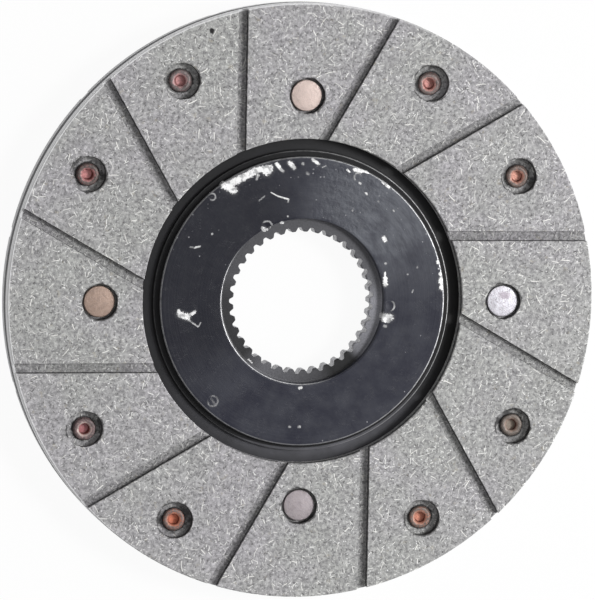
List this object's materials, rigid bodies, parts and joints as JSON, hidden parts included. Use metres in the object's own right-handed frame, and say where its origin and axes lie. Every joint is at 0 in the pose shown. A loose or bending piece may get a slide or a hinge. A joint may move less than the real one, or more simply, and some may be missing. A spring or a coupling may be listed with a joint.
{
  "type": "brake disc",
  "caption": "Round dry brake disc: grooved friction linings riveted to both faces of a steel plate with a splined central bore.",
  "frame": {"origin": "on the bore's axis, at the height of the rear lining's friction face, which the disc rests on", "axes": "+Z along the bore's axis through the front friction face; +X through the middle of a spline tooth and of an inner rivet; +Y a quarter turn further, through the next inner rivet"},
  "size_m": [0.1968, 0.1968, 0.013],
  "materials": {
    "core_steel": "gloss black paint on the hub boss, bare steel on the rim, chipped",
    "friction_lining": "matte moulded grey with pale fibres and flakes",
    "rivet_copper": "dull coppered"
  },
  "bodies": {
    "root": {"core_plate": "core_steel", "lining_front": "friction_lining", "lining_rear": "friction_lining", "rivet_inner_1": "rivet_copper", "rivet_inner_2": "rivet_copper", "rivet_inner_3": "rivet_copper", "rivet_inner_4": "rivet_copper", "rivet_outer_1": "rivet_copper", "rivet_outer_2": "rivet_copper", "rivet_outer_3": "rivet_copper", "rivet_outer_4": "rivet_copper", "rivet_outer_5": "rivet_copper", "rivet_outer_6": "rivet_copper", "rivet_outer_7": "rivet_copper", "rivet_outer_8": "rivet_copper"}
  },
  "joints": []
}
